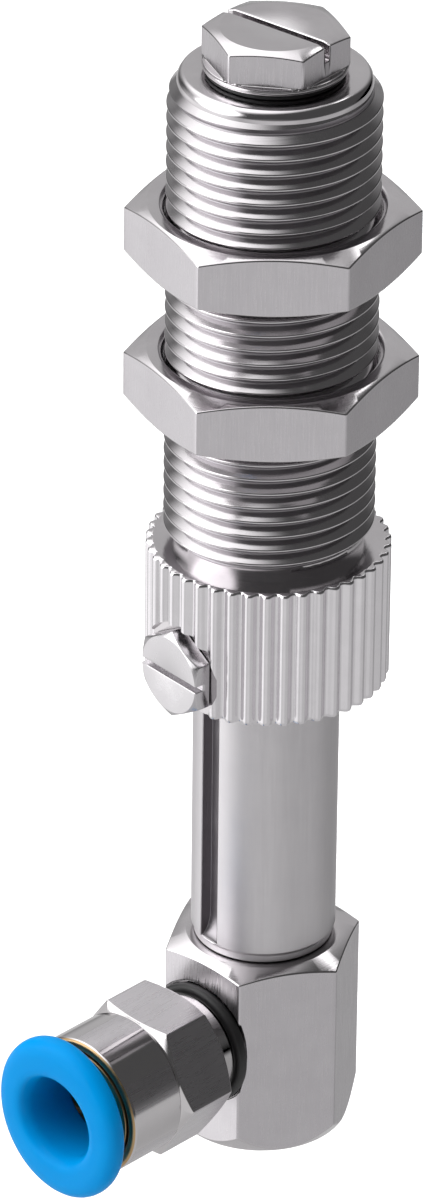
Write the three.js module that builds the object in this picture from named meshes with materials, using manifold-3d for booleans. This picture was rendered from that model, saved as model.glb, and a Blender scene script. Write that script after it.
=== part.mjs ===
// Spring-loaded vacuum holder with a push-in tube fitting: a keyed plunger telescopes in a threaded
// sleeve that two nuts clamp in a bracket. Millimetres, +Z up. The finished assembly has its origin
// on the sleeve's axis, in the plane where the bracket rests on the lower nut.
import * as THREE from 'three';
import { mergeVertices } from 'three/addons/utils/BufferGeometryUtils.js';
import Module from 'manifold-3d';

const wasm = await Module();
wasm.setup();

// Driving dimensions. Heights are above the bottom face of the elbow block.
const play = 0.15; // radial play between pieces that fit in each other
const faceGap = 0.1; // gap between faces that rest on each other
const threadRadius = 10; // M20 x 1.5 outside thread of the sleeve
const threadDepth = 0.92;
const sleeveTop = 112.5;
const sleeveEndWall = 5;
const sleeveBoreRadius = 8.2;
const collarRadius = 11.65;
const collarBottom = 49.6;
const collarHeight = 14.1;
const collarRibs = 42;
const ribDepth = 0.5;
const nutAcrossFlats = 24;
const nutHeight = 6;
const nutTurn = -46.5; // direction of the flat of each nut that squares up with its neighbour's
const nutChamfer = 20;
const lowerNutTop = 84;
const bracketRoom = 9.1; // free length between the two nuts
const blockAcrossFlats = 17;
const blockHeight = 20.5;
const blockTurn = 0; // a flat of the block faces -Y
const tubeRadius = 7;
const tubeBoreRadius = 4.5;
const keyAngle = -96; // degrees about +Z; the tube's groove and the key screw share it
const keyHeight = 53.1;
const keyHeadRadius = 3.95; // half across the flats of its hexagon
const keyShankRadius = 1;
const keyHoleSides = 16;
const keyFace = 12.25; // distance of the key screw's face from the sleeve's axis
const fittingHeight = 11.3; // axis of the push-in fitting
const fittingAcrossFlats = 14;
const fittingTurn = 27; // where the tightened fitting's hexagon stops
const fittingPipeRadius = 4.85; // G 1/8 outside thread
const hoseRadius = 4; // 8 mm tube
const plugAcrossFlats = 12;
const plugPortRadius = 5.2;
const plugTurn = 4.7; // direction of the tightened plug's slot, across two of its flats
const springRadius = 7.2; // to the middle of the wire
const springWireRadius = 0.5;
const springTurns = 10;
const fineSides = 36; // sides of a large round face
const coarseSides = 24; // sides of a small or hidden one

const collarTop = collarBottom + collarHeight;
const upperNutBottom = lowerNutTop + bracketRoom;
const boreTop = sleeveTop - sleeveEndWall;
const blockFace = blockAcrossFlats / 2; // distance of the side port's face from the axis
const spotFaceDistance = collarRadius - 1.25; // the flat in the collar under the key screw's head

const finishes = {
  nickel: { color: '#b9b6b8', metalness: 1, roughness: 0.3 },
  steel: { color: '#a8a8aa', metalness: 1, roughness: 0.4 },
  brass: { color: '#b08a55', metalness: 1, roughness: 0.4 },
  bronze: { color: '#9a7648', metalness: 1, roughness: 0.5 },
  rubber: { color: '#161616', metalness: 0, roughness: 0.7 },
  urethane: { color: '#3a3d40', metalness: 0, roughness: 0.6 },
  blueAcetal: { color: '#0a96dc', metalness: 0, roughness: 0.35 },
};

const degrees = (angle) => (angle * Math.PI) / 180;

// A closed mesh as a solid: vertices merged by place, and empty triangles dropped.
function toSolid(geometry) {
  const source = geometry.clone();
  source.deleteAttribute('normal');
  source.deleteAttribute('uv');
  const merged = mergeVertices(source, 1e-5);
  const corners = merged.index.array;
  const kept = [];
  for (let i = 0; i < corners.length; i += 3) {
    const [a, b, c] = corners.slice(i, i + 3);
    if (a !== b && b !== c && c !== a) kept.push(a, b, c);
  }
  return new wasm.Manifold(new wasm.Mesh({
    numProp: 3,
    vertProperties: new Float32Array(merged.attributes.position.array),
    triVerts: new Uint32Array(kept),
  }));
}

function toGeometry(solid) {
  const { vertProperties, triVerts, numProp } = solid.getMesh();
  const places = new Float32Array((vertProperties.length / numProp) * 3);
  for (let i = 0; i < places.length / 3; i += 1) {
    places.set(vertProperties.subarray(i * numProp, i * numProp + 3), i * 3);
  }
  const geometry = new THREE.BufferGeometry();
  geometry.setAttribute('position', new THREE.BufferAttribute(places, 3));
  geometry.setIndex(new THREE.BufferAttribute(new Uint32Array(triVerts), 1));
  geometry.computeVertexNormals();
  return geometry;
}

const cut = (solid, ...tools) => tools.reduce((left, tool) => left.subtract(tool), solid);
const join = (solid, ...others) => others.reduce((sum, other) => sum.add(other), solid);

// A solid turned about +Z. The outline runs anticlockwise in [radius, height], as a ring seen with
// its axis on the left, and closes on itself.
function turned(outline, segments = fineSides) {
  const points = [...outline, outline[0]].map(([radius, height]) => new THREE.Vector2(radius, height));
  return toSolid(new THREE.LatheGeometry(points, segments).rotateX(Math.PI / 2));
}

// A plain round bar, or a ring where an inner radius is given.
function bar(radius, from, to, segments = fineSides) {
  return turned([[0, from], [radius, from], [radius, to], [0, to]], segments);
}

function ring(inner, outer, from, to, segments = fineSides) {
  return turned([[inner, from], [outer, from], [outer, to], [inner, to]], segments);
}

// A prism from a flat outline of [x, y] points.
function prism(outline, from, to) {
  const shape = new THREE.Shape(outline.map(([x, y]) => new THREE.Vector2(x, y)));
  const geometry = new THREE.ExtrudeGeometry(shape, { depth: to - from, bevelEnabled: false });
  return toSolid(geometry.translate(0, 0, from));
}

// A hexagon bar with a flat facing -Y before it is turned.
function hexBar(acrossFlats, from, to, turn = 0) {
  const outline = [];
  for (let corner = 0; corner < 6; corner += 1) {
    const angle = degrees(turn + 60 * corner);
    const reach = acrossFlats / Math.sqrt(3);
    outline.push([reach * Math.cos(angle), reach * Math.sin(angle)]);
  }
  return prism(outline, from, to);
}

// Lays a solid made about +Z on its side, so that it points out along -Y at the given height.
function facingOut(solid, height, turn = 0) {
  const matrix = new THREE.Matrix4().makeRotationX(Math.PI / 2);
  const spin = new THREE.Matrix4().makeRotationZ(degrees(turn));
  const lift = new THREE.Matrix4().makeTranslation(0, 0, height);
  return solid.transform(lift.multiply(spin).multiply(matrix).elements);
}

// The sleeve: threaded outside, with a relief above the knurled collar that is one piece with it.
function threadedSleeve() {
  const shoulder = 1.7;
  const ribRoot = collarRadius - ribDepth;
  const collarEdge = 0.4;
  const neckRadius = threadRadius - threadDepth - 0.1;
  const neckTop = collarTop + 1.1;
  const body = turned([
    [0, collarBottom],
    [ribRoot - collarEdge, collarBottom],
    [ribRoot, collarBottom + collarEdge],
    [ribRoot, collarTop - collarEdge],
    [ribRoot - collarEdge, collarTop],
    [neckRadius, collarTop],
    [neckRadius, neckTop],
    [threadRadius, neckTop + 0.9],
    [threadRadius, sleeveTop - 1],
    [threadRadius - 0.4, sleeveTop - 0.6],
    [threadRadius - shoulder, sleeveTop],
    [0, sleeveTop],
  ]);
  const bore = bar(sleeveBoreRadius, collarBottom - 1, boreTop);
  const topPort = bar(plugPortRadius, boreTop - 1, sleeveTop + 1, coarseSides);
  const keyHole = bar(keyShankRadius + play, sleeveBoreRadius - 2, collarRadius + 1, keyHoleSides);
  const spotFace = bar(keyHeadRadius + 1, spotFaceDistance, collarRadius + 2, coarseSides);
  return cut(
    join(body, knurl()),
    bore,
    topPort,
    facingOut(keyHole, keyHeight, keyAngle + 90),
    facingOut(spotFace, keyHeight, keyAngle + 90),
  );
}

// Straight ribs round the collar, each a low ridge that runs its whole height.
function knurl() {
  const outline = [];
  const root = collarRadius - ribDepth;
  const ribEnd = 0.3; // the ribs stop this far from the collar's two faces
  for (let rib = 0; rib < collarRibs; rib += 1) {
    for (const [share, radius] of [[0, root], [0.5, collarRadius]]) {
      const angle = ((rib + share) / collarRibs) * 2 * Math.PI;
      outline.push([radius * Math.cos(angle), radius * Math.sin(angle)]);
    }
  }
  return prism(outline, collarBottom + ribEnd, collarTop - ribEnd);
}

function hexNut(bottom) {
  const top = bottom + nutHeight;
  const corner = nutAcrossFlats / Math.sqrt(3);
  const rim = nutAcrossFlats / 2 - 0.3;
  const drop = (corner - rim) * Math.tan(degrees(nutChamfer));
  const chamfers = turned([
    [0, bottom], [rim, bottom], [corner, bottom + drop], [corner, top - drop], [rim, top], [0, top],
  ]);
  const boreRadius = threadRadius + play;
  const mouth = 0.35;
  const bore = turned([
    [0, bottom - 1], [boreRadius + mouth, bottom - 1], [boreRadius + mouth, bottom],
    [boreRadius, bottom + mouth], [boreRadius, top - mouth],
    [boreRadius + mouth, top], [boreRadius + mouth, top + 1], [0, top + 1],
  ]);
  return cut(hexBar(nutAcrossFlats, bottom, top, nutTurn + 30).intersect(chamfers), bore);
}

// What a screwdriver slot takes away, right across the head.
function screwSlot(width, bottom, top) {
  const reach = 10;
  return prism([
    [-reach, -width / 2], [reach, -width / 2], [reach, width / 2], [-reach, width / 2],
  ], bottom, top);
}

// The closing screw of the sleeve's top port: slotted hexagon head, round flange, threaded shank.
const plugSealTop = sleeveTop + 0.4;
const plugFlangeTop = sleeveTop + 1.1;
const plugTop = sleeveTop + 4.4;

function topPlug() {
  const rim = plugAcrossFlats / Math.sqrt(3) + 0.1;
  const crown = 5.2;
  const crownSlope = 0.27;
  const slotDepth = 2.4;
  const hexagon = hexBar(plugAcrossFlats, plugFlangeTop - 0.1, plugTop, plugTurn + 30);
  const head = hexagon.intersect(turned([
    [0, plugFlangeTop - 1], [rim, plugFlangeTop - 1],
    [rim, plugTop - (rim - crown) * crownSlope], [crown, plugTop], [0, plugTop],
  ]));
  const flange = turned([
    [0, plugSealTop + faceGap], [6.6, plugSealTop + faceGap], [6.8, plugSealTop + 0.25],
    [6.8, plugFlangeTop - 0.15], [6.65, plugFlangeTop], [0, plugFlangeTop],
  ]);
  const shank = bar(plugPortRadius - play, boreTop + 0.6, plugSealTop + 0.5, coarseSides);
  const slot = screwSlot(1, plugTop - slotDepth, plugTop + 1).rotate([0, 0, plugTurn]);
  return cut(join(head, flange, shank), slot);
}

function plugSeal() {
  return ring(plugPortRadius + play, 6.5, sleeveTop + 0.05, plugSealTop, coarseSides);
}

// The screw whose shank runs in the plunger's groove and stops the plunger turning.
function keyScrew() {
  const seat = spotFaceDistance + faceGap;
  const corner = 2 * keyHeadRadius / Math.sqrt(3) + 0.1;
  const slotDepth = 0.9;
  const head = hexBar(2 * keyHeadRadius, seat, keyFace, 30).intersect(turned([
    [0, seat], [corner, seat], [corner, keyFace - 0.45], [keyHeadRadius - 0.1, keyFace],
    [0, keyFace],
  ], coarseSides));
  const shank = bar(keyShankRadius, tubeRadius - 1, seat + 0.2, keyHoleSides);
  const slot = screwSlot(0.6, keyFace - slotDepth, keyFace + 1);
  return facingOut(cut(join(head, shank), slot), keyHeight, keyAngle + 90);
}

// Inside the sleeve, from the bottom up.
const bushRadius = sleeveBoreRadius - play;
const wiperTop = collarBottom + 1.8;
const bushTop = 62;
const bumperTop = 63.5;
const pistonBottom = bumperTop + 0.2;
const pistonTop = 70;
const circlipTop = pistonTop + 1.1;
const tubeTop = 72.5;
const spigotRadius = 6.2; // the tube's reduced end, which carries the piston
const circlipGroove = 5.65; // radius of the groove's floor
const tubeRootRadius = 5.9; // the tube's screwed end in the block
const tubeRootBottom = 16.8;
const rootSealHeight = 18.5;

function wiperRing() {
  return turned([
    [tubeRadius + play, collarBottom + 0.2], [bushRadius, collarBottom + 0.2], [bushRadius, wiperTop],
    [tubeRadius + 0.5, wiperTop], [tubeRadius + play, collarBottom + 1],
  ], coarseSides);
}

function lowerBush() {
  const hole = bar(keyShankRadius + play, tubeRadius - 1, sleeveBoreRadius + 1, keyHoleSides);
  const body = ring(tubeRadius + play, bushRadius, wiperTop + faceGap, bushTop, coarseSides);
  return cut(body, facingOut(hole, keyHeight, keyAngle + 90));
}

function bumperWasher() {
  return ring(tubeRadius + 0.2, bushRadius - 0.1, bushTop + faceGap, bumperTop, coarseSides);
}

function circlip() {
  const inner = circlipGroove + 0.1;
  const halfGap = 1.2;
  const body = ring(inner, 6.5, pistonTop + faceGap, circlipTop, coarseSides);
  const gap = prism([[-halfGap, 3], [halfGap, 3], [halfGap, 9], [-halfGap, 9]], pistonTop, circlipTop + 1);
  return cut(body, gap);
}

class Coil extends THREE.Curve {
  constructor(radius, from, to, turns) {
    super();
    Object.assign(this, { radius, from, to, turns });
  }

  getPoint(share, target = new THREE.Vector3()) {
    const angle = share * this.turns * 2 * Math.PI;
    const rise = this.from + (this.to - this.from) * share;
    return target.set(this.radius * Math.cos(angle), this.radius * Math.sin(angle), rise);
  }
}

function compressionSpring() {
  const from = pistonTop + springWireRadius + 0.2;
  const to = boreTop - springWireRadius - 0.2;
  const section = new THREE.Shape();
  section.absellipse(0, 0, springWireRadius, springWireRadius, 0, 2 * Math.PI, false, 0);
  const path = new Coil(springRadius, from, to, springTurns);
  return toSolid(new THREE.ExtrudeGeometry(section, {
    steps: springTurns * 12, curveSegments: 3, bevelEnabled: false, extrudePath: path,
  }));
}

function plungerTube() {
  const foot = 6.7;
  const footBottom = blockHeight + faceGap;
  const shoulder = pistonBottom - faceGap;
  const body = turned([
    [0, tubeRootBottom], [tubeRootRadius, tubeRootBottom],
    [tubeRootRadius, rootSealHeight - 0.7], [5.1, rootSealHeight - 0.7],
    [5.1, rootSealHeight + 0.7], [tubeRootRadius, rootSealHeight + 0.7],
    [tubeRootRadius, footBottom], [foot, footBottom], [foot, footBottom + 0.7],
    [tubeRadius, footBottom + 1.1], [tubeRadius, shoulder], [spigotRadius, shoulder],
    [spigotRadius, pistonTop], [circlipGroove, pistonTop], [circlipGroove, circlipTop + 0.1],
    [spigotRadius, circlipTop + 0.1], [spigotRadius, tubeTop], [0, tubeTop],
  ]);
  const bore = bar(tubeBoreRadius, tubeRootBottom - 1, tubeTop + 1, coarseSides);
  return cut(body, bore, keyGroove());
}

// The groove that the key screw's shank runs in, with a rounded run-out at its lower end.
function keyGroove() {
  const half = keyShankRadius + play;
  const depth = 1.3;
  const runOut = 23.4;
  const side = new THREE.Shape();
  side.moveTo(tubeRadius + 1, runOut);
  side.lineTo(tubeRadius + 1, pistonBottom);
  side.lineTo(tubeRadius - depth, pistonBottom);
  side.lineTo(tubeRadius - depth, runOut + depth);
  side.absarc(tubeRadius, runOut + depth, depth, Math.PI, 1.5 * Math.PI, false);
  const geometry = new THREE.ExtrudeGeometry(side, {
    depth: 2 * half, bevelEnabled: false, curveSegments: 6,
  });
  geometry.translate(0, 0, -half).rotateX(Math.PI / 2).rotateZ(degrees(keyAngle));
  return toSolid(geometry);
}

function guidePiston() {
  return turned([
    [spigotRadius + play, pistonBottom], [bushRadius - 0.3, pistonBottom],
    [bushRadius, pistonBottom + 0.3], [bushRadius, pistonTop - 0.3],
    [bushRadius - 0.3, pistonTop], [spigotRadius + play, pistonTop],
  ], coarseSides);
}

// The block's three ports: the cup below, the plunger tube above and the fitting at the side.
const cupPortRadius = 4.3;
const cupPortDepth = 6;
const channelRadius = 2.5; // the two drillings that meet inside the block
const channelSides = 16;

function elbowBlock() {
  const corner = blockAcrossFlats / Math.sqrt(3) + 0.05;
  const bottomRim = 8.3;
  const topRim = 7.5;
  const turnedEnds = turned([
    [0, 0], [bottomRim, 0], [corner, 2.2], [corner, blockHeight - 0.9], [topRim, blockHeight],
    [0, blockHeight],
  ]);
  const body = hexBar(blockAcrossFlats, 0, blockHeight, blockTurn).intersect(turnedEnds);
  const cupPort = turned([
    [0, -1], [cupPortRadius + 0.5, -1], [cupPortRadius + 0.5, 0], [cupPortRadius, 0.5],
    [cupPortRadius, cupPortDepth], [0, cupPortDepth + 1.6],
  ], coarseSides);
  const channel = bar(channelRadius, cupPortDepth - 0.5, blockHeight, channelSides);
  const socket = bar(tubeRootRadius + play, tubeRootBottom - 0.4, blockHeight + 1);
  const sideMouth = 6.6;
  const sidePort = turned([
    [0, 3], [fittingPipeRadius + play, 3], [fittingPipeRadius + play, blockFace - 0.9],
    [sideMouth, blockFace - 0.35], [sideMouth, blockFace + 1], [0, blockFace + 1],
  ], coarseSides);
  const sideChannel = bar(channelRadius, 0, 3.5, channelSides);
  return cut(body, cupPort, channel, socket,
    facingOut(sidePort, fittingHeight), facingOut(sideChannel, fittingHeight));
}

// The fitting's own heights are distances from the sleeve's axis, out along -Y.
const hexStart = 11.9;
const hexEnd = 18.4;
const fittingRim = 25;
const fittingBarrelRadius = 7.05;
const hoseStop = 12;
const sealStart = blockFace - 0.2;
const sealEnd = sealStart + 1.5;
const pocketRadius = hoseRadius + 0.15;
const cartridgeStart = 19.6;
const cartridgeRadius = 6.1; // of the recess it is pressed in
const cartridgeInner = 5.3;

function fittingBody() {
  const corner = fittingAcrossFlats / Math.sqrt(3);
  const hexEnds = turned([
    [0, hexStart], [6.75, hexStart], [corner + 0.1, hexStart + 0.8],
    [corner + 0.1, hexEnd - 0.55], [6.85, hexEnd], [0, hexEnd],
  ]);
  const hexagon = hexBar(fittingAcrossFlats, hexStart, hexEnd, fittingTurn + 30).intersect(hexEnds);
  const barrel = turned([
    [0, 3.6], [fittingPipeRadius - 0.4, 3.6], [fittingPipeRadius, 4], [fittingPipeRadius, sealEnd + faceGap],
    [5.7, sealEnd + faceGap], [5.7, hexStart + 0.1], [fittingBarrelRadius, hexStart + 0.4],
    [fittingBarrelRadius, fittingRim - 0.3], [fittingBarrelRadius - 0.25, fittingRim],
    [0, fittingRim],
  ]);
  const hollow = turned([
    [0, 2], [3, 2], [3, hoseStop], [pocketRadius, hoseStop], [pocketRadius, 17.4], [5.4, 17.4],
    [5.4, cartridgeStart],
    [cartridgeRadius, cartridgeStart], [cartridgeRadius, fittingRim - 0.2],
    [cartridgeRadius + 0.2, fittingRim + 1], [0, fittingRim + 1],
  ]);
  return facingOut(cut(join(hexagon, barrel), hollow), fittingHeight);
}

function fittingSeal() {
  const inner = fittingPipeRadius + play;
  return facingOut(turned([
    [inner, sealStart], [5.85, sealStart], [6.2, sealStart + 0.4], [6.2, sealEnd - 0.4],
    [5.85, sealEnd], [inner, sealEnd],
  ], coarseSides), fittingHeight);
}

function hoseSeal() {
  return facingOut(turned([
    [4.6, 17.5], [5.25, 17.5], [5.25, 19.3], [4.6, 19.3], [pocketRadius, 18.8], [pocketRadius, 18],
  ], coarseSides), fittingHeight);
}

// The sprung stainless ring whose teeth hold the hose.
function gripRing() {
  const teeth = 8;
  const cone = turned([
    [4.2, 21], [4.9, 20], [5.9, 20], [5.9, 20.3], [5.05, 20.3], [4.4, 21.2],
  ], coarseSides);
  const slots = [];
  for (let tooth = 0; tooth < teeth; tooth += 1) {
    const slot = prism([[3, -0.25], [5.3, -0.25], [5.3, 0.25], [3, 0.25]], 19, 22);
    slots.push(slot.rotate([0, 0, (360 * tooth) / teeth]));
  }
  return facingOut(cut(cone, ...slots), fittingHeight);
}

function cartridgeSleeve() {
  const outer = cartridgeRadius - play;
  return facingOut(
    ring(cartridgeInner, outer, 20.5, fittingRim + 0.1, coarseSides),
    fittingHeight,
  );
}

function releaseRing() {
  const stem = 5.1;
  return facingOut(turned([
    [pocketRadius, 22.4], [stem, 22.4], [stem, 26.2], [7.4, 26.2], [8.1, 26.6], [8.4, 27.3],
    [8.2, 28], [7.4, 28.7], [6.3, 29], [5.1, 29], [4.7, 28.85], [4.3, 28.2], [pocketRadius, 27.4],
  ]), fittingHeight);
}

function tubeRootSeal() {
  const outline = [];
  const sectionSides = 6;
  for (let step = 0; step < sectionSides; step += 1) {
    const angle = (step / sectionSides) * 2 * Math.PI;
    outline.push([5.6 + 0.4 * Math.cos(angle), rootSealHeight + 0.4 * Math.sin(angle)]);
  }
  return turned(outline, coarseSides);
}

const assembly = new THREE.Group();
assembly.position.z = -lowerNutTop;

function place(name, solid, finish) {
  const mesh = new THREE.Mesh(toGeometry(solid), new THREE.MeshStandardMaterial(finishes[finish]));
  mesh.name = name;
  assembly.add(mesh);
}

place('threaded_sleeve', threadedSleeve(), 'nickel');
place('top_plug', topPlug(), 'nickel');
place('plug_seal', plugSeal(), 'rubber');
place('key_screw', keyScrew(), 'steel');
place('wiper_ring', wiperRing(), 'rubber');
place('lower_bush', lowerBush(), 'bronze');
place('bumper_washer', bumperWasher(), 'urethane');
place('upper_nut', hexNut(upperNutBottom), 'nickel');
place('lower_nut', hexNut(lowerNutTop - nutHeight), 'nickel');
place('compression_spring', compressionSpring(), 'steel');
place('plunger_tube', plungerTube(), 'nickel');
place('guide_piston', guidePiston(), 'bronze');
place('piston_circlip', circlip(), 'steel');
place('tube_root_seal', tubeRootSeal(), 'rubber');
place('elbow_block', elbowBlock(), 'nickel');
place('fitting_body', fittingBody(), 'nickel');
place('fitting_seal', fittingSeal(), 'rubber');
place('hose_seal', hoseSeal(), 'rubber');
place('grip_ring', gripRing(), 'steel');
place('cartridge_sleeve', cartridgeSleeve(), 'brass');
place('release_ring', releaseRing(), 'blueAcetal');

const holder = new THREE.Group();
holder.add(assembly);

export default holder;
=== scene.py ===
# Spring-loaded vacuum cup holder with a push-in hose fitting, in nickel-plated brass.
# Shapes are built in millimetres about each piece's own axis, then put in the frame in metres.
import math

import bmesh
import bpy
from mathutils import Matrix, Vector


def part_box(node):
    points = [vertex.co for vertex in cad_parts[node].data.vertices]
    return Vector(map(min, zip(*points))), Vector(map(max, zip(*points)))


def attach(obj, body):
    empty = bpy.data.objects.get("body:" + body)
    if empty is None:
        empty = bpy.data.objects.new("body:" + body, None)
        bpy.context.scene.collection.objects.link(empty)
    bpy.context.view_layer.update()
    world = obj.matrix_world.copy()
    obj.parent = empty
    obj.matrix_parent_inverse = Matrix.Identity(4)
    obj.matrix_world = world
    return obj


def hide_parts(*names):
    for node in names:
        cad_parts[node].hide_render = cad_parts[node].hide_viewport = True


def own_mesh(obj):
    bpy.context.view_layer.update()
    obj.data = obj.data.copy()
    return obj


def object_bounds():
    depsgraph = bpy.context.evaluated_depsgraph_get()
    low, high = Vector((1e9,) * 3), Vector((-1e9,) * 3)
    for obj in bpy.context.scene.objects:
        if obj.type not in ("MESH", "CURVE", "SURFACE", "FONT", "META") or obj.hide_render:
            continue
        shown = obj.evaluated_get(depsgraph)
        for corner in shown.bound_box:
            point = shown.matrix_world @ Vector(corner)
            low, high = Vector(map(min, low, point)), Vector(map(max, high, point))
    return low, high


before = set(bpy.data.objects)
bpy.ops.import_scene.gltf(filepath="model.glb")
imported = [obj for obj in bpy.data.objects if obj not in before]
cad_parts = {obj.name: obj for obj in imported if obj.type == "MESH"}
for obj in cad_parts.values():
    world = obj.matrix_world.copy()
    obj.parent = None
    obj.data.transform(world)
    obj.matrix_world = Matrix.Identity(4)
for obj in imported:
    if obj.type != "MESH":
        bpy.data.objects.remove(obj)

for leftOver in ("Cube", "Light", "Camera"):
    if leftOver in bpy.data.objects:
        bpy.data.objects.remove(bpy.data.objects[leftOver])
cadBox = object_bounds()
print("frame loaded:", len(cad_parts), "nodes")

mm = 0.001
fullTurn = 2 * math.pi
scene = bpy.context.scene
scene.view_settings.view_transform = "Standard"


def span(node):
    low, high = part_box(node)
    return low.z / mm, high.z / mm


def direction(azimuth, elevation):
    # Unit vector away from the object. Angles are in degrees, and azimuth 0 is the -Y side.
    a, e = math.radians(azimuth), math.radians(elevation)
    return Vector((math.sin(a) * math.cos(e), -math.cos(a) * math.cos(e), math.sin(e)))


blockBottom, blockTop = span("elbow_block")
sideAxis = (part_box("release_ring")[0].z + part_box("release_ring")[1].z) / 2 / mm


# colours and nodes
def linear(code):
    parts = [int(code[i:i + 2], 16) / 255 for i in (1, 3, 5)]
    return [c / 12.92 if c <= 0.04045 else ((c + 0.055) / 1.055) ** 2.4 for c in parts] + [1.0]


def addNode(tree, kind, inputs=(), **settings):
    made = tree.nodes.new("ShaderNode" + kind)
    for key, value in settings.items():
        setattr(made, key, value)
    for socket, value in dict(inputs).items():
        if isinstance(value, bpy.types.NodeSocket):
            tree.links.new(value, made.inputs[socket])
        else:
            made.inputs[socket].default_value = value
    return made


def emptyMaterial(name, shader):
    material = bpy.data.materials.new(name)
    material.use_nodes = True
    tree = material.node_tree
    tree.nodes.clear()
    surface = addNode(tree, "BsdfPrincipled", shader)
    addNode(tree, "OutputMaterial", {"Surface": surface.outputs[0]})
    return material, tree, surface


reliefHeight = 0.02 * mm  # height of every finish's fine relief
noiseLow, noiseHigh = 0.3, 0.7  # the range that a noise mostly keeps to


def turnedMetal(name, look):
    # Lathe-turned metal: fine rings round the axis on walls and faces alike, and soft clouding in
    # the tone and gloss of the surface.
    material, tree, surface = emptyMaterial(name, {"Metallic": 1.0})
    place = addNode(tree, "TexCoord").outputs["Object"]
    axes = addNode(tree, "SeparateXYZ", {0: place})
    flat = addNode(tree, "CombineXYZ", {0: axes.outputs[0], 1: axes.outputs[1]})
    reach = addNode(tree, "VectorMath", {0: flat.outputs[0]}, operation="LENGTH")
    along = addNode(tree, "Math", {0: reach.outputs["Value"], 1: axes.outputs[2]}, operation="ADD")
    cloud = addNode(tree, "TexNoise", {"Vector": place, "Scale": look["cloudsPerMetre"],
                                       "Detail": 4.0, "Roughness": 0.6})
    # The tool's feed leaves a ring each look["feed"] mm, uneven from ring to ring.
    ringNoise = addNode(tree, "TexNoise", {"W": addNode(tree, "Math", {
        0: along.outputs[0], 1: 1 / (look["feed"] * mm)}, operation="MULTIPLY").outputs[0],
        "Scale": 1.0, "Detail": 3.0, "Roughness": 0.7}, noise_dimensions="1D")
    tone = addNode(tree, "Mix", {0: cloud.outputs["Fac"], 6: linear(look["shade"]),
                                 7: linear(look["colour"])}, data_type="RGBA")
    gloss = addNode(tree, "MapRange", {"Value": cloud.outputs["Fac"], "From Min": noiseLow,
                                       "From Max": noiseHigh, "To Min": look["roughness"][0],
                                       "To Max": look["roughness"][1]})
    ringGloss = addNode(tree, "Math", {0: ringNoise.outputs["Fac"], 1: look["ringGloss"],
                                       2: gloss.outputs[0]}, operation="MULTIPLY_ADD")
    bump = addNode(tree, "Bump", {"Height": ringNoise.outputs["Fac"],
                                  "Strength": look["ringDepth"], "Distance": reliefHeight})
    tree.links.new(tone.outputs[2], surface.inputs["Base Color"])
    tree.links.new(ringGloss.outputs[0], surface.inputs["Roughness"])
    tree.links.new(bump.outputs[0], surface.inputs["Normal"])
    return material


def drawnMetal(name, look):
    # Metal with faint lines along its length, from the drawing die, the knurl or the grinder. The
    # real lines are finer and are drawn this coarse so that they show.
    material, tree, surface = emptyMaterial(name, {"Metallic": 1.0})
    place = addNode(tree, "TexCoord").outputs["Object"]
    stretched = addNode(tree, "Mapping", {"Vector": place, "Scale": (1.0, 1.0, 0.04)})
    lines = addNode(tree, "TexNoise", {"Vector": stretched.outputs[0],
                                       "Scale": 1 / (look["lineSpacing"] * mm),
                                       "Detail": 3.0, "Roughness": 0.65})
    cloud = addNode(tree, "TexNoise", {"Vector": place, "Scale": look["cloudsPerMetre"],
                                       "Detail": 5.0, "Roughness": 0.6})
    tone = addNode(tree, "Mix", {0: cloud.outputs["Fac"], 6: linear(look["shade"]),
                                 7: linear(look["colour"])}, data_type="RGBA")
    gloss = addNode(tree, "MapRange", {"Value": lines.outputs["Fac"], "From Min": noiseLow,
                                       "From Max": noiseHigh, "To Min": look["roughness"][0],
                                       "To Max": look["roughness"][1]})
    bump = addNode(tree, "Bump", {"Height": lines.outputs["Fac"], "Strength": look["lineDepth"],
                                  "Distance": reliefHeight})
    tree.links.new(tone.outputs[2], surface.inputs["Base Color"])
    tree.links.new(gloss.outputs[0], surface.inputs["Roughness"])
    tree.links.new(bump.outputs[0], surface.inputs["Normal"])
    return material


def mouldedPlastic(name, look):
    # Moulded plastic or rubber: even colour, the mould's fine grain and a soft sheen. The real
    # grain is finer and is drawn this coarse so that it shows.
    material, tree, surface = emptyMaterial(name, {
        "IOR": look["ior"], "Specular IOR Level": look.get("sheen", 0.5),
        "Subsurface Weight": look.get("glow", 0.0),
        "Subsurface Scale": 0.6 * mm, "Subsurface Radius": look.get("glowReach", (1.0,) * 3)})
    place = addNode(tree, "TexCoord").outputs["Object"]
    grain = addNode(tree, "TexNoise", {"Vector": place, "Scale": 1 / (look["grain"] * mm),
                                       "Detail": 2.0, "Roughness": 0.5})
    cloud = addNode(tree, "TexNoise", {"Vector": place, "Scale": 180.0, "Detail": 3.0})
    tone = addNode(tree, "Mix", {0: cloud.outputs["Fac"], 6: linear(look["shade"]),
                                 7: linear(look["colour"])}, data_type="RGBA")
    gloss = addNode(tree, "MapRange", {"Value": cloud.outputs["Fac"], "From Min": noiseLow,
                                       "From Max": noiseHigh, "To Min": look["roughness"][0],
                                       "To Max": look["roughness"][1]})
    bump = addNode(tree, "Bump", {"Height": grain.outputs["Fac"], "Strength": look["grainDepth"],
                                  "Distance": reliefHeight})
    tree.links.new(tone.outputs[2], surface.inputs["Base Color"])
    tree.links.new(gloss.outputs[0], surface.inputs["Roughness"])
    tree.links.new(bump.outputs[0], surface.inputs["Normal"])
    return material


# Bright, with feed rings that break the reflections up a little.
nickelTurned = turnedMetal("nickelPlatedBrassTurned", {
    "colour": "#d4d1d3", "shade": "#c3bfc2", "cloudsPerMetre": 260.0, "feed": 0.16,
    "roughness": (0.08, 0.15), "ringGloss": 0.07, "ringDepth": 0.18})
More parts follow.
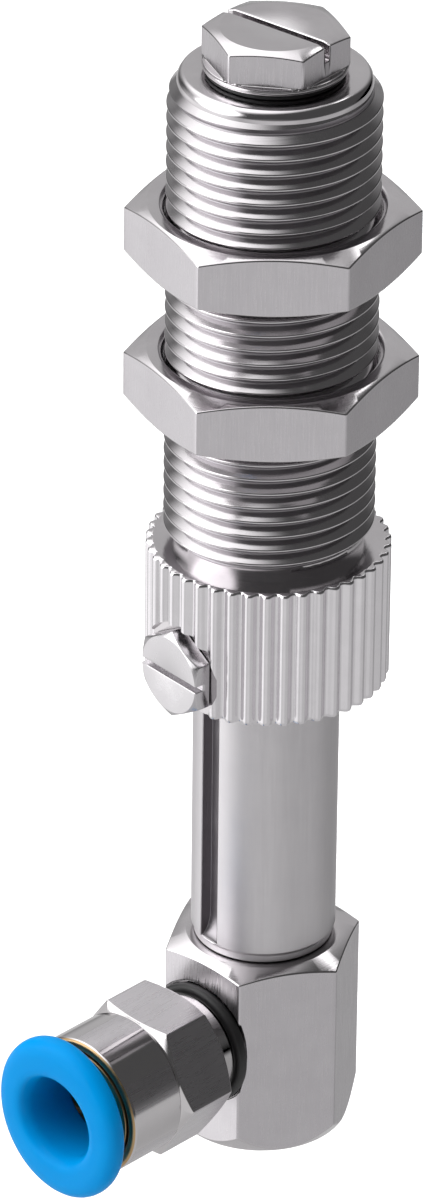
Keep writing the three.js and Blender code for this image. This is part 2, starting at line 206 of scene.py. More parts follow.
# The same plating in the thread's roots and the milled groove, coloured darker as painted shade in
# these hollows, and duller than the crests.
nickelPaintedShade = turnedMetal("nickelPlatedBrassRootPaintedShade", {
    "colour": "#a8a4a8", "shade": "#928e92", "cloudsPerMetre": 260.0, "feed": 0.16,
    "roughness": (0.3, 0.4), "ringGloss": 0.07, "ringDepth": 0.18})
# Hexagon flats as the bar came: satin, with faint lines.
nickelDrawn = drawnMetal("nickelPlatedBrassDrawn", {
    "colour": "#d2cfd2", "shade": "#c4c0c4", "cloudsPerMetre": 300.0, "lineSpacing": 0.14,
    "roughness": (0.24, 0.36), "lineDepth": 0.25})
# Stainless steel off the lathe: near the nickel's tone, and softer in its reflections.
steelTurned = turnedMetal("stainlessSteelTurned", {
    "colour": "#d2d0d2", "shade": "#c4c1c4", "cloudsPerMetre": 400.0, "feed": 0.1,
    "roughness": (0.16, 0.26), "ringGloss": 0.08, "ringDepth": 0.2})
# Spring wire: grey, with a soft shine.
springWire = turnedMetal("stainlessSpringWire", {
    "colour": "#bdbbb9", "shade": "#a3a09d", "cloudsPerMetre": 500.0, "feed": 0.08,
    "roughness": (0.3, 0.4), "ringGloss": 0.05, "ringDepth": 0.15})
# Bare brass: a thin warm line round the hose's socket.
brassTurned = turnedMetal("brassTurned", {
    "colour": "#c9ab82", "shade": "#b39468", "cloudsPerMetre": 400.0, "feed": 0.12,
    "roughness": (0.28, 0.4), "ringGloss": 0.06, "ringDepth": 0.2})
# Sintered bronze: brown and matt, mottled by its pores.
bronzeSintered = turnedMetal("bronzeSintered", {
    "colour": "#b48a55", "shade": "#8e6a3e", "cloudsPerMetre": 1500.0, "feed": 0.2,
    "roughness": (0.4, 0.6), "ringGloss": 0.05, "ringDepth": 0.15})
# The collar's ribs: the same plating painted lighter than the rest, a painted highlight so that
# each rib catches the light.
nickelKnurledPaintedLight = drawnMetal("nickelPlatedBrassKnurledPaintedLight", {
    "colour": "#e6e3e6", "shade": "#dad7da", "cloudsPerMetre": 500.0, "lineSpacing": 0.2,
    "roughness": (0.15, 0.24), "lineDepth": 0.2})
# Ground tube: even and dull enough to hold no clear reflection of its neighbours.
nickelTube = drawnMetal("nickelPlatedBrassGround", {
    "colour": "#dad7d9", "shade": "#d0cdd0", "cloudsPerMetre": 300.0, "lineSpacing": 0.25,
    "roughness": (0.38, 0.48), "lineDepth": 0.12})
# The fitting's turned walls: almost a mirror.
nickelPolished = turnedMetal("nickelPlatedBrassPolished", {
    "colour": "#d8d5d6", "shade": "#cbc8ca", "cloudsPerMetre": 260.0, "feed": 0.16,
    "roughness": (0.05, 0.09), "ringGloss": 0.04, "ringDepth": 0.08})
# Seals: black, with a dull sheen.
nitrileRubber = mouldedPlastic("nitrileRubberMoulded", {
    "colour": "#1b1a1b", "shade": "#121213", "ior": 1.52, "grain": 0.15, "grainDepth": 0.2,
    "roughness": (0.42, 0.58)})
# The bumper: dark grey, with a dull sheen.
urethaneMoulded = mouldedPlastic("urethaneMoulded", {
    "colour": "#4a4c4e", "shade": "#3c3e40", "ior": 1.5, "grain": 0.15, "grainDepth": 0.2,
    "roughness": (0.4, 0.55)})
# Dyed through: strong blue and smooth, with a little light passing under its skin.
acetalBlue = mouldedPlastic("acetalBlueMoulded", {
    "colour": "#017ab8", "shade": "#0172ae", "ior": 1.48, "grain": 0.12, "grainDepth": 0.12,
    "roughness": (0.16, 0.24), "sheen": 0.05, "glow": 0.12, "glowReach": (0.3, 0.8, 1.6)})
print("materials made")


# shapes
def toPiece(name, points, faces):
    mesh = bpy.data.meshes.new(name)
    mesh.from_pydata(points, [], faces)
    piece = bpy.data.objects.new(name, mesh)
    scene.collection.objects.link(piece)
    return piece


def polar(radius, angle, height):
    return (radius * math.cos(angle), radius * math.sin(angle), height)


def ringFaces(low, high):
    faces = []
    count = len(low)
    for side in range(count):
        after = (side + 1) % count
        corners = list(dict.fromkeys([low[side], low[after], high[after], high[side]]))
        if len(corners) > 2:
            faces.append(corners)
    return faces


def turned(outline, sides=96, acrossFlats=None, turn=0.0):
    # A solid of revolution from [radius, height] points, anticlockwise with the axis on the left.
    # Points marked "hex" are cut back to a hexagon whose first flat looks along the angle turn.
    points, rings = [], []
    start = math.radians(turn - 30)
    for index, (radius, height, *mark) in enumerate(outline):
        if radius < 1e-6:
            rings.append([len(points)] * sides)
            points.append((0.0, 0.0, height))
            continue
        rings.append(list(range(len(points), len(points) + sides)))
        for side in range(sides):
            angle = fullTurn * side / sides
            reach, level = radius, height
            if mark:
                off = angle % (fullTurn / 6) - fullTurn / 12
                reach = acrossFlats / 2 / math.cos(off)
                around = (outline[index - 1], outline[(index + 1) % len(outline)])
                near = next(point for point in around if len(point) == 2)
                share = min(max((reach - near[0]) / (radius - near[0]), 0.0), 1.0)
                level = near[1] + (height - near[1]) * share
            points.append(polar(reach, start + angle, level))
    faces = []
    for low, high in zip(rings, rings[1:] + rings[:1]):
        if low[0] == low[1] and high[0] == high[1]:
            continue
        faces += ringFaces(low, high)
    return toPiece("shape", points, faces)


def softened(outline, radius, steps=3):
    # The outline with its corners rounded, for edges that were broken with a file or a tumbler.
    made = []
    count = len(outline)
    for index, corner in enumerate(outline):
        here = Vector(corner)
        before = Vector(outline[index - 1])
        after = Vector(outline[(index + 1) % count])
        back, ahead = before - here, after - here
        if here.x < 1e-6 or back.length < 1e-6 or ahead.length < 1e-6:
            made.append(corner)
            continue
        bend = math.pi - back.angle(ahead)
        if bend < math.radians(12):
            made.append(corner)
            continue
        reach = min(radius, 0.45 * back.length, 0.45 * ahead.length)
        start = here + back.normalized() * reach
        end = here + ahead.normalized() * reach
        for step in range(steps + 1):
            t = step / steps
            p = start * (1 - t) ** 2 + here * 2 * t * (1 - t) + end * t ** 2
            made.append((p.x, p.y))
    return made


def block(low, high):
    lx, ly, lz = low
    hx, hy, hz = high
    points = [(lx, ly, lz), (hx, ly, lz), (hx, hy, lz), (lx, hy, lz),
              (lx, ly, hz), (hx, ly, hz), (hx, hy, hz), (lx, hy, hz)]
    faces = [(3, 2, 1, 0), (4, 5, 6, 7), (0, 1, 5, 4), (1, 2, 6, 5), (2, 3, 7, 6), (3, 0, 4, 7)]
    return toPiece("shape", points, faces)


def moved(piece, matrix):
    piece.data.transform(matrix)
    return piece


def applied(piece):
    graph = bpy.context.evaluated_depsgraph_get()
    made = bpy.data.meshes.new_from_object(piece.evaluated_get(graph))
    old = piece.data
    piece.modifiers.clear()
    piece.data = made
    bpy.data.meshes.remove(old)
    return piece


def carved(piece, *tools, operation="DIFFERENCE"):
    for tool in tools:
        step = piece.modifiers.new("carve", "BOOLEAN")
        step.operation = operation
        step.object = tool
        step.solver = "MANIFOLD"
    applied(piece)
    for tool in tools:
        bpy.data.objects.remove(tool)
    return piece


def edged(piece, width, segments=2, fromAngle=30.0, creaseFrom=11.0):
    # Breaks the sharp edges; shallow creases stay crisp.
    made = bmesh.new()
    made.from_mesh(piece.data)
    bmesh.ops.remove_doubles(made, verts=made.verts, dist=0.004)
    bmesh.ops.dissolve_degenerate(made, edges=made.edges, dist=0.002)
    sharp = []
    for edge in made.edges:
        if len(edge.link_faces) != 2:
            continue
        angle = math.degrees(edge.calc_face_angle(0.0))
        if angle >= fromAngle:
            sharp.append(edge)
        elif angle > creaseFrom:
            edge.smooth = False
    if width > 0 and sharp:
        bmesh.ops.bevel(made, geom=sharp, offset=width, offset_type="OFFSET", segments=segments,
                        profile=0.5, affect="EDGES", clamp_overlap=False)
    made.to_mesh(piece.data)
    made.free()
    return piece


def placed(piece, name, body, nodes, materials, centre, facing=None, weighted=True):
    # Names the piece, sets it in the frame and lets it ride on its body. A piece that points
    # along -Y keeps its own axis as its local Z.
    piece.name = piece.data.name = name + "_detailed"
    paint = [face.material_index for face in piece.data.polygons]
    piece.data.materials.clear()
    for material in materials:
        piece.data.materials.append(material)
    for face, index in zip(piece.data.polygons, paint):
        face.material_index = min(index, len(materials) - 1)
    piece.data.transform(Matrix.Scale(mm, 4))
    for face in piece.data.polygons:
        face.use_smooth = True
    if weighted:
        step = piece.modifiers.new("normals", "WEIGHTED_NORMAL")
        step.keep_sharp = True
        step.weight = 80
        applied(piece)
    turn = Matrix.Identity(4)
    if facing is not None:
        turn = Matrix.Rotation(math.radians(facing), 4, "Z") @ Matrix.Rotation(math.pi / 2, 4, "X")
    piece.matrix_world = Matrix.Translation(Vector(centre) * mm) @ turn
    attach(piece, body)
    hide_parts(*nodes)
    return piece


def paintFlats(piece, acrossFlats, turn, within=0.12, upright=0.99):
    # The hexagon's flats take the second material, the turned faces keep the first.
    for face in piece.data.polygons:
        angle = math.atan2(face.center.y, face.center.x) - math.radians(turn)
        off = (angle + math.pi / 6) % (math.pi / 3) - math.pi / 6
        reach = math.hypot(face.center.x, face.center.y) * math.cos(off)
        flatness = math.hypot(face.normal.x, face.normal.y)
        if abs(reach - acrossFlats / 2) < within and flatness > upright:
            face.material_index = 1


# threaded sleeve and its collar
sleeve = {
    "pitch": 1.5, "threadRadius": 10.0, "columns": 144,
    "collarRadius": 11.65, "collarHeight": 14.1, "ribs": 42, "ribDepth": 0.55,
    "boreRadius": 8.2, "portRadius": 5.2, "endWall": 5.0,
    "neckRadius": 8.98, "neckHeight": 1.1, "keyAngle": -96.0, "keyHeight": 53.1,
    "threadEnd": 1.2, "shoulderDrop": 0.95, "paintedShadeFrom": 0.8,
}


def sleeveMesh(look):
    low, high = span("threaded_sleeve")
    collarTop = low + look["collarHeight"]
    neckTop = collarTop + look["neckHeight"]
    threadEnd = high - look["threadEnd"]
    outer, pitch, columns = look["threadRadius"], look["pitch"], look["columns"]
    shoulder = outer - look["shoulderDrop"]
    # The thread's section over one pitch, crest first: 60 degree flanks, rounded crest and root.
    section = [(0.0, 0.0), (0.07, 0.008), (0.14, 0.06), (0.60, 0.855), (0.67, 0.905),
               (0.75, 0.92), (0.83, 0.905), (0.90, 0.855), (1.36, 0.06), (1.43, 0.008)]
    chamfers = [(neckTop, look["neckRadius"]), (neckTop + 0.9, outer),
                (threadEnd - 0.95, outer), (threadEnd, shoulder)]

    def envelope(level):
        for (z0, r0), (z1, r1) in zip(chamfers, chamfers[1:]):
            if level <= z1:
                return r0 + (r1 - r0) * (level - z0) / (z1 - z0)
        return chamfers[-1][1]

    made = bmesh.new()
    rows = len(section) * (math.ceil((threadEnd - neckTop) / pitch) + 2)
    start = neckTop - pitch
    grid = []
    for row in range(rows):
        offset, drop = section[row % len(section)]
        for column in range(columns):
            level = start + pitch * (row // len(section) + column / columns) + offset
            level = min(max(level, neckTop), threadEnd)
            radius = min(outer - drop, envelope(level))
            grid.append(made.verts.new(polar(radius, fullTurn * column / columns, level)))
    for row in range(rows - 1):
        for column in range(columns):
            after = (column + 1) % columns
            lift = len(section) if after == 0 else 0
            if row + 1 + lift < rows:
                face = made.faces.new((grid[row * columns + column],
                                       grid[(row + lift) * columns + after],
                                       grid[(row + lift + 1) * columns + after],
                                       grid[(row + 1) * columns + column]))
                # Faces deep in the thread's roots take the third material: painted shade.
                if section[row % len(section)][1] > look["paintedShadeFrom"]:
                    face.material_index = 2
    bmesh.ops.remove_doubles(made, verts=made.verts, dist=0.002)
    bmesh.ops.dissolve_degenerate(made, edges=made.edges, dist=0.001)
    bmesh.ops.delete(made, geom=[v for v in made.verts if not v.link_faces], context="VERTS")

    def ringOf(radius, level, count=columns, ripple=None):
        verts = []
        for column in range(count):
            reach = radius - (ripple(column) if ripple else 0.0)
            verts.append(made.verts.new(polar(reach, fullTurn * column / count, level)))
        return verts

    def wall(rings, paint=0):
        for lower, upper in zip(rings, rings[1:]):
            for side in range(len(lower)):
                after = (side + 1) % len(lower)
                face = made.faces.new((lower[side], lower[after], upper[after], upper[side]))
                face.material_index = paint

    # Round the shoulder, over the top, down the port and the bore, to the collar's bottom face.
    inner = [(shoulder, threadEnd), (shoulder + 0.04, high - 0.9),
             (shoulder - 0.04, high - 0.55), (shoulder - 0.25, high - 0.22),
             (shoulder - 0.5, high - 0.05), (shoulder - 0.75, high),
             (look["portRadius"] + 0.3, high), (look["portRadius"], high - 0.3),
             (look["portRadius"], high - look["endWall"]),
             (look["boreRadius"], high - look["endWall"]), (look["boreRadius"], low + 0.3),
             (look["boreRadius"] + 0.3, low)]
    rings = [ringOf(radius, level) for radius, level in inner]
    wall(rings)
    neck = [ringOf(look["neckRadius"], collarTop), ringOf(look["neckRadius"], neckTop)]
    wall(neck)
    # The collar's ribs are rounded ridges with narrow valleys between them.
    ridge = [1.0, 0.91, 0.67, 0.38, 0.14, 0.02, 0.0, 0.02, 0.14, 0.38, 0.67, 0.91]
    ribColumns = look["ribs"] * len(ridge)
    edges = [(0.45, 0.0), (0.12, 0.1), (0.0, 0.4), (0.0, 0.5)]
    levels = [(drop, low + rise) for drop, rise in edges]
    levels += [(0.0, low + look["collarHeight"] * share) for share in (0.25, 0.5, 0.75)]
    levels += [(0.0, collarTop - 0.4), (0.0, collarTop - 0.25), (0.07, collarTop - 0.07),
               (0.22, collarTop)]

    def ripple(column):
        return look["ribDepth"] * ridge[column % len(ridge)]

    ribbed = [ringOf(look["collarRadius"] - drop, level, ribColumns, ripple)
              for drop, level in levels]
    # The ribs take the second material, painted lighter as a painted highlight.
    wall(ribbed, 1)
    bmesh.ops.remove_doubles(made, verts=made.verts, dist=0.002)
    for level in (collarTop, low):
        rim = [e for e in made.edges if e.is_boundary
               and all(abs(v.co.z - level) < 0.01 for v in e.verts)]
        bmesh.ops.triangle_fill(made, use_beauty=True, edges=rim)
    bmesh.ops.recalc_face_normals(made, faces=made.faces)
    mesh = bpy.data.meshes.new("sleeve")
    made.to_mesh(mesh)
    openEdges = sum(1 for e in made.edges if not e.is_manifold)
    made.free()
    piece = bpy.data.objects.new("sleeve", mesh)
    scene.collection.objects.link(piece)
    print("sleeve:", len(mesh.polygons), "faces,", openEdges, "open edges")
    return piece


def facingOut(piece, angle, height):
    turn = Matrix.Rotation(math.radians(angle + 90), 4, "Z") @ Matrix.Rotation(math.pi / 2, 4, "X")
    return moved(piece, Matrix.Translation((0, 0, height)) @ turn)


def drill(radius, start, end, sides):
    return turned([(0, start), (radius, start), (radius, end), (0, end)], sides)


keyLevel = blockBottom + sleeve["keyHeight"]
keySeat = {"spotRadius": 4.95, "spotDepth": 1.25, "holeRadius": 1.1}
spotDistance = sleeve["collarRadius"] - keySeat["spotDepth"]
spotFace = facingOut(drill(keySeat["spotRadius"], spotDistance, 14, 72),
                     sleeve["keyAngle"], keyLevel)
keyHole = facingOut(drill(keySeat["holeRadius"], 6.5, 12, 32), sleeve["keyAngle"], keyLevel)
sleevePiece = carved(sleeveMesh(sleeve), spotFace, keyHole)
edged(sleevePiece, 0.0, creaseFrom=50.0, fromAngle=200.0)
placed(sleevePiece, "threaded_sleeve", "sleeve", ["threaded_sleeve"],
       [nickelTurned, nickelKnurledPaintedLight, nickelPaintedShade], (0, 0, 0))
print("sleeve made")


# the two nuts
nuts = {"acrossFlats": 24.0, "turn": -46.5, "rim": 11.7, "chamfer": 20.0, "boreRadius": 10.15,
        "mouth": 0.45, "edge": 0.14}


def hexNut(node, body, look):
    low, high = span(node)
    height = high - low
    corner = look["acrossFlats"] / math.sqrt(3) + 0.05
    drop = (corner - look["rim"]) * math.tan(math.radians(look["chamfer"]))
    bore, mouth = look["boreRadius"], look["mouth"]
    nut = turned([(bore + mouth, 0), (look["rim"], 0), (corner, drop, "hex"),
                  (corner, height - drop, "hex"), (look["rim"], height), (bore + mouth, height),
                  (bore, height - mouth), (bore, mouth)],
                 180, look["acrossFlats"], look["turn"])
    edged(nut, look["edge"])
    paintFlats(nut, look["acrossFlats"], look["turn"])
    return placed(nut, node, body, [node], [nickelTurned, nickelDrawn],
                  (0, 0, low))


hexNut("upper_nut", "upper_nut", nuts)
hexNut("lower_nut", "lower_nut", nuts)
print("nuts made")


# closing plug and its seal
plug = {"acrossFlats": 12.0, "turn": 4.7, "crown": 5.2, "crownSlope": 0.27, "flange": 6.8,
        "flangeHeights": (0.5, 1.1), "flangeEdge": 0.15, "shank": 5.05, "tipChamfer": 0.5,
        "slotWidth": 0.74, "slotDepth": 1.7, "edge": 0.12}


def topPlug(look):
    low, high = span("top_plug")
    sleeveTop = span("threaded_sleeve")[1]
    flangeLow, flangeHigh = (sleeveTop + rise for rise in look["flangeHeights"])
    rim = look["acrossFlats"] / math.sqrt(3) + 0.1
    flange, shank = look["flange"], look["shank"]
    edge, tip = look["flangeEdge"], look["tipChamfer"]
    head = turned([(0, low), (shank - tip, low), (shank, low + tip), (shank, flangeLow),
                   (flange - edge, flangeLow), (flange, flangeLow + edge),
                   (flange, flangeHigh - edge), (flange - edge, flangeHigh),
                   (rim, flangeHigh + 0.05, "hex"),
                   (rim, high - (rim - look["crown"]) * look["crownSlope"], "hex"),
                   (look["crown"], high), (0, high)], 180, look["acrossFlats"], look["turn"])
    half = look["slotWidth"] / 2
    slot = moved(block((-10, -half, high - look["slotDepth"]), (10, half, high + 1)),
                 Matrix.Rotation(math.radians(look["turn"]), 4, "Z"))
    carved(head, slot)
    edged(head, look["edge"])
    paintFlats(head, look["acrossFlats"], look["turn"])
    return placed(head, "top_plug", "sleeve", ["top_plug"],
                  [nickelTurned, nickelDrawn], (0, 0, 0))


topPlug(plug)


def ringOutline(look):
    # A plain ring's section: two radii and two heights, anticlockwise.
    inner, outer = look["radii"]
    low, high = look["heights"]
    return [(inner, low), (outer, low), (outer, high), (inner, high)]


def lifted(outline, rise):
    return [(radius, rise + height) for radius, height in outline]


def squeezeAcross(piece, oval):
    # Makes a flange oval. The bore and the skirt stay round.
    for vertex in piece.data.vertices:
        reach = math.hypot(vertex.co.x, vertex.co.y)
        share = min(max((reach - oval["roundTo"]) / oval["fade"], 0.0), 1.0)
        vertex.co.x *= 1 + (oval["width"] - 1) * share


def ringPiece(name, body, material, outline, centre=(0, 0, 0), facing=None, ease=0.12,
              sides=96, oval=None):
    piece = turned(softened(outline, ease), sides)
    if oval:
        squeezeAcross(piece, oval)
    edged(piece, 0.0, fromAngle=200.0, creaseFrom=35.0)
    return placed(piece, name, body, [name], [material], centre, facing)


plugSeal = {"radii": (5.35, 6.5), "heights": span("plug_seal")}
ringPiece("plug_seal", "sleeve", nitrileRubber, ringOutline(plugSeal))
print("plug made")


# key screw
keyScrew = {"acrossFlats": 7.9, "face": 12.25, "seat": 10.5, "chamfer": 0.45, "shank": 1.0,
            "tip": 6.0, "tipChamfer": 0.15, "slotWidth": 0.62, "slotDepth": 0.9, "edge": 0.07}


def keyScrewPiece(look):
    corner = look["acrossFlats"] / math.sqrt(3) + 0.1
    rim = look["acrossFlats"] / 2 - 0.1
    tip, chamfer = look["tip"], look["tipChamfer"]
    head = turned([(0, tip), (look["shank"] - chamfer, tip), (look["shank"], tip + chamfer),
                   (look["shank"], look["seat"]), (corner, look["seat"], "hex"),
                   (corner, look["face"] - look["chamfer"], "hex"), (rim, look["face"]),
                   (0, look["face"])], 120, look["acrossFlats"], 0.0)
    half = look["slotWidth"] / 2
    carved(head, block((-6, -half, look["face"] - look["slotDepth"]), (6, half, 14)))
    edged(head, look["edge"])
    return placed(head, "key_screw", "sleeve", ["key_screw"], [steelTurned],
                  (0, 0, keyLevel), sleeve["keyAngle"] + 90)


keyScrewPiece(keyScrew)
print("key screw made")


# plunger tube
tube = {"radius": 7.0, "foot": 6.7, "bore": 4.5, "root": 5.9, "sealGroove": 5.1,
        "sealGrooveHeights": (17.8, 19.2), "spigot": 6.2, "circlipGroove": 5.65,
        "grooveHalf": 1.15, "grooveDepth": 1.3, "runOut": 1.2, "runOutLength": 2.5,
        "runOutSteps": 8, "grooveTop": 63.7, "edge": 0.08}


def plungerTube(look):
    low, high = span("plunger_tube")
    foot = blockTop + 0.1
    shoulder, spigotEnd = span("guide_piston")
    root, seal, spigot, clip = (look[key] for key in ("root", "sealGroove", "spigot",
                                                      "circlipGroove"))
    sealLow, sealHigh = (height + blockBottom for height in look["sealGrooveHeights"])
    outline = [(look["bore"], low), (root - 0.3, low), (root, low + 0.3), (root, sealLow),
               (seal, sealLow), (seal, sealHigh), (root, sealHigh), (root, foot),
               (look["foot"], foot), (look["foot"], foot + 0.7), (look["radius"], foot + 1.1),
               (look["radius"], shoulder - 0.4), (look["radius"] - 0.3, shoulder - 0.1),
               (spigot, shoulder - 0.1), (spigot, spigotEnd), (clip, spigotEnd),
               (clip, spigotEnd + 1.2), (spigot, spigotEnd + 1.2), (spigot, high - 0.3),
               (spigot - 0.3, high), (look["bore"], high)]
    body = turned(softened(outline, 0.06, 2), 128)
    half, depth, steps = look["grooveHalf"], look["grooveDepth"], look["runOutSteps"]
    low, high = blockTop + look["runOut"], blockBottom + look["grooveTop"]
    # The groove's cutter leaves a rounded run-out at the lower end.
    profile = [(look["radius"] + 1, low), (look["radius"] + 1, high),
               (look["radius"] - depth, high)]
    for step in range(steps + 1):
        angle = math.pi + math.pi / 2 * step / steps
        profile.append((look["radius"] + depth * math.cos(angle),
                        low + look["runOutLength"] * (1 + math.sin(angle))))
    count = len(profile)
    points = [(x, side * half, z) for side in (-1, 1) for x, z in profile]
    faces = [tuple(range(count)), tuple(range(2 * count - 1, count - 1, -1))]
    faces += [(i, i + count, (i + 1) % count + count, (i + 1) % count) for i in range(count)]
    cutter = toPiece("shape", points, faces)
    normals = bmesh.new()
    normals.from_mesh(cutter.data)
    bmesh.ops.recalc_face_normals(normals, faces=normals.faces)
    normals.to_mesh(cutter.data)
    normals.free()
    carved(body, moved(cutter, Matrix.Rotation(math.radians(sleeve["keyAngle"]), 4, "Z")))
    edged(body, look["edge"], fromAngle=40.0)
    # The groove is milled, so it is duller than the ground wall round it; its faces also take the
    # darker colour, which is painted shade in the groove.
    for face in body.data.polygons:
        angle = math.radians(sleeve["keyAngle"])
        out = face.center.x * math.cos(angle) + face.center.y * math.sin(angle)
        across = face.center.y * math.cos(angle) - face.center.x * math.sin(angle)
        if abs(across) < half + 0.01 and low < face.center.z < high and 5.0 < out < 6.85:
            face.material_index = 1
    return placed(body, "plunger_tube", "plunger", ["plunger_tube"],
                  [nickelTube, nickelPaintedShade], (0, 0, 0))


plungerTube(tube)
print("tube made")


# elbow block
elbow = {"acrossFlats": 17.0, "turn": -90.0, "bottomRim": 8.3, "bottomRise": 2.2,
         "topRim": 7.5, "topDrop": 0.9, "socket": 6.05, "socketBottom": 16.4,
         "cupPort": 4.3, "cupPortDepth": 6.0, "cupMouth": 0.5, "channel": 2.5,
         "sidePort": 5.0, "sideMouth": 6.25, "sideMouthDepth": 0.21, "edge": 0.14}


def elbowBlock(look):
    height = blockTop - blockBottom
    corner = look["acrossFlats"] / math.sqrt(3) + 0.05
    cup, channel, mouth = look["cupPort"], look["channel"], look["cupMouth"]
    body = turned([(cup + mouth, 0), (look["bottomRim"], 0),
                   (corner, look["bottomRise"], "hex"),
                   (corner, height - look["topDrop"], "hex"), (look["topRim"], height),
                   (look["socket"], height), (look["socket"], look["socketBottom"]),
                   (channel, look["socketBottom"]), (channel, look["cupPortDepth"] + 1),
                   (cup, look["cupPortDepth"]), (cup, mouth)],
                  180, look["acrossFlats"], look["turn"])
    face = look["acrossFlats"] / 2
    side = turned([(0, 0), (channel, 0), (channel, 3), (look["sidePort"], 3.2),
                   (look["sidePort"], face - 0.9),
                   (look["sideMouth"], face - look["sideMouthDepth"]),
                   (look["sideMouth"], face + 1), (0, face + 1)], 96)
    side = facingOut(side, -90, sideAxis - blockBottom)
    carved(body, side)
    edged(body, look["edge"])
    paintFlats(body, look["acrossFlats"], look["turn"])
    return placed(body, "elbow_block", "plunger", ["elbow_block"],
                  [nickelTurned, nickelDrawn], (0, 0, blockBottom))


elbowBlock(elbow)
print("block made")


# push-in fitting
fitting = {"acrossFlats": 14.0, "turn": 27.0, "hexStart": 11.9, "hexEnd": 18.4,
           "barrel": 7.05, "rim": 25.0, "pipe": 4.85, "pipeStart": 3.6, "undercut": 5.7,
           "undercutStart": 9.9, "channel": 3.0, "socket": 4.15, "hoseStop": 12.0,
           "sealSeat": 5.4, "sealSeatStart": 17.4, "recess": 6.1, "recessStart": 19.6,
           "rimBrass": 0.16, "edge": 0.12}
sideCentre = (0, 0, sideAxis)


def fittingBody(look):
    corner = look["acrossFlats"] / math.sqrt(3) + 0.1
    start, end = look["hexStart"], look["hexEnd"]
    barrel, rim, recess = look["barrel"], look["rim"], look["recess"]
    pipe, pipeStart, channel = look["pipe"], look["pipeStart"], look["channel"]
    undercut, seat, socket = look["undercut"], look["sealSeat"], look["socket"]
    body = turned([(channel, pipeStart), (pipe - 0.4, pipeStart), (pipe, pipeStart + 0.4),
                   (pipe, look["undercutStart"]), (undercut, look["undercutStart"]),
                   (undercut, start), (6.75, start), (corner, start + 0.8, "hex"),
                   (corner, end - 0.55, "hex"), (6.85, end), (6.85, end + 0.06),
                   (barrel, end + 0.2), (barrel, rim - 0.3), (barrel - 0.25, rim),
                   (recess + 0.15, rim), (recess, rim - 0.2), (recess, look["recessStart"]),
                   (seat, look["recessStart"]), (seat, look["sealSeatStart"]),
                   (socket, look["sealSeatStart"]), (socket, look["hoseStop"]),
                   (channel, look["hoseStop"])], 180, look["acrossFlats"], look["turn"])
    edged(body, look["edge"])
    paintFlats(body, look["acrossFlats"], look["turn"])
    # The rim was faced after plating, so bare brass shows there.
    for face in body.data.polygons:
        if face.center.z > rim - look["rimBrass"]:
            face.material_index = 2
    return placed(body, "fitting_body", "plunger", ["fitting_body"],
                  [nickelPolished, nickelDrawn, brassTurned], sideCentre, 0)


fittingBody(fitting)

# In the fitting, heights are distances from the sleeve's axis.
fittingSeal = {"radii": (5.0, 6.15), "heights": (8.3, 9.45), "ease": 0.45}
ringPiece("fitting_seal", "plunger", nitrileRubber, ringOutline(fittingSeal),
          sideCentre, 0, fittingSeal["ease"])
hoseSeal = {"outline": [(4.15, 18), (4.6, 17.5), (5.25, 17.5), (5.25, 19.3), (4.6, 19.3),
                        (4.15, 18.8)], "ease": 0.2}
ringPiece("hose_seal", "plunger", nitrileRubber, hoseSeal["outline"],
          sideCentre, 0, hoseSeal["ease"])
cartridge = {"radii": (5.3, 5.95), "heights": (20.5, 25.1), "ease": 0.15}
ringPiece("cartridge_sleeve", "plunger", brassTurned, ringOutline(cartridge),
          sideCentre, 0, cartridge["ease"])

grip = {"outline": [(4.2, 21.0), (4.9, 20.0), (5.9, 20.0), (5.9, 20.3), (5.05, 20.3),
                    (4.4, 21.2)],
        "teeth": 8, "slotWidth": 0.44, "slotEnd": 5.3, "edge": 0.04}


def gripRing(look):
    cone = turned(look["outline"], 96)
    half = look["slotWidth"] / 2
    slots = []
    for tooth in range(look["teeth"]):
        turn = Matrix.Rotation(fullTurn * tooth / look["teeth"], 4, "Z")
        slots.append(moved(block((3, -half, 19), (look["slotEnd"], half, 22)), turn))
    carved(cone, *slots)
    edged(cone, look["edge"])
    return placed(cone, "grip_ring", "plunger", ["grip_ring"], [steelTurned],
                  sideCentre, 0)


gripRing(grip)

# blue release ring: a skirt that reaches the grip ring's teeth, and a flange to press
release = {"outline": [(4.15, 22.4), (5.1, 22.4), (5.1, 26.7), (7.7, 26.7), (8.25, 26.95),
                       (8.4, 27.5), (8.3, 28.2), (7.8, 28.7), (7.0, 28.95), (5.3, 29.0),
                       (4.7, 28.85), (4.3, 28.2), (4.15, 27.4)],
           "ease": 0.5, "sides": 128, "oval": {"width": 0.93, "roundTo": 5.2, "fade": 1.6}}
ringPiece("release_ring", "release_ring", acetalBlue, release["outline"],
          sideCentre, 0, release["ease"], release["sides"], release["oval"])
print("fitting made")

# inside the sleeve and the block, with heights above the block's bottom face
level = blockBottom
wiper = {"outline": [(7.15, 49.8), (8.05, 49.8), (8.05, 51.4), (7.5, 51.4), (7.15, 50.6)],
         "ease": 0.12}
ringPiece("wiper_ring", "sleeve", nitrileRubber, lifted(wiper["outline"], level),
          ease=wiper["ease"])
bumper = {"radii": (7.2, 7.95), "heights": (62.1, 63.5), "ease": 0.2}
ringPiece("bumper_washer", "sleeve", urethaneMoulded,
          lifted(ringOutline(bumper), level), ease=bumper["ease"])
piston = {"radii": (6.35, 8.05), "heights": (63.7, 70.0), "ease": 0.3}
ringPiece("guide_piston", "plunger", bronzeSintered,
          lifted(ringOutline(piston), level), ease=piston["ease"])
rootSeal = {"radii": (5.2, 6.0), "heights": (18.1, 18.9), "ease": 0.36}
ringPiece("tube_root_seal", "plunger", nitrileRubber,
          lifted(ringOutline(rootSeal), level), ease=rootSeal["ease"])

bush = {"radii": (7.15, 8.05), "heights": (51.5, 62.0), "ease": 0.2, "holeRadius": 1.15}


